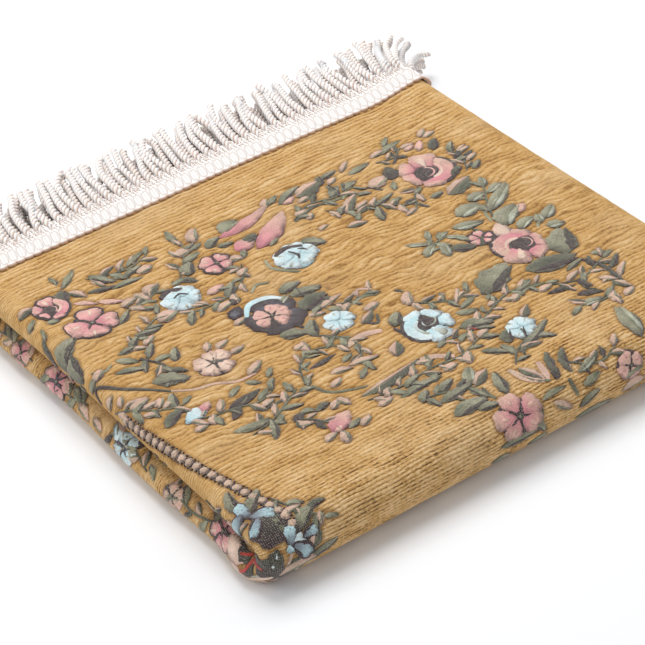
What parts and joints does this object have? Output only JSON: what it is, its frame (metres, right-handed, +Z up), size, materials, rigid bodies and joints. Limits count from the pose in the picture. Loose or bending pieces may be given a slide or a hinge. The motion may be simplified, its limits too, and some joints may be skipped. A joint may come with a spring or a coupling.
{
  "type": "folded prayer rug",
  "caption": "Woven chenille prayer rug folded flat into a square pack, with soft side rolls, a round front fold and corded fringe at the back edge.",
  "frame": {"origin": "centre of the bounding box at the underside that the folded rug rests on", "axes": "+Z up; X runs across the rug, along the fringed edge; +Y from the front fold towards the fringe"},
  "size_m": [0.3816, 0.3848, 0.0404],
  "materials": {
    "chenille": "soft ribbed gold chenille with woven flowers",
    "fringe_cord": "cream twisted cord, softly lustrous"
  },
  "bodies": {
    "root": {"rug_cloth": "chenille", "fringe_outer": "fringe_cord", "fringe_inner": "fringe_cord"}
  },
  "joints": []
}
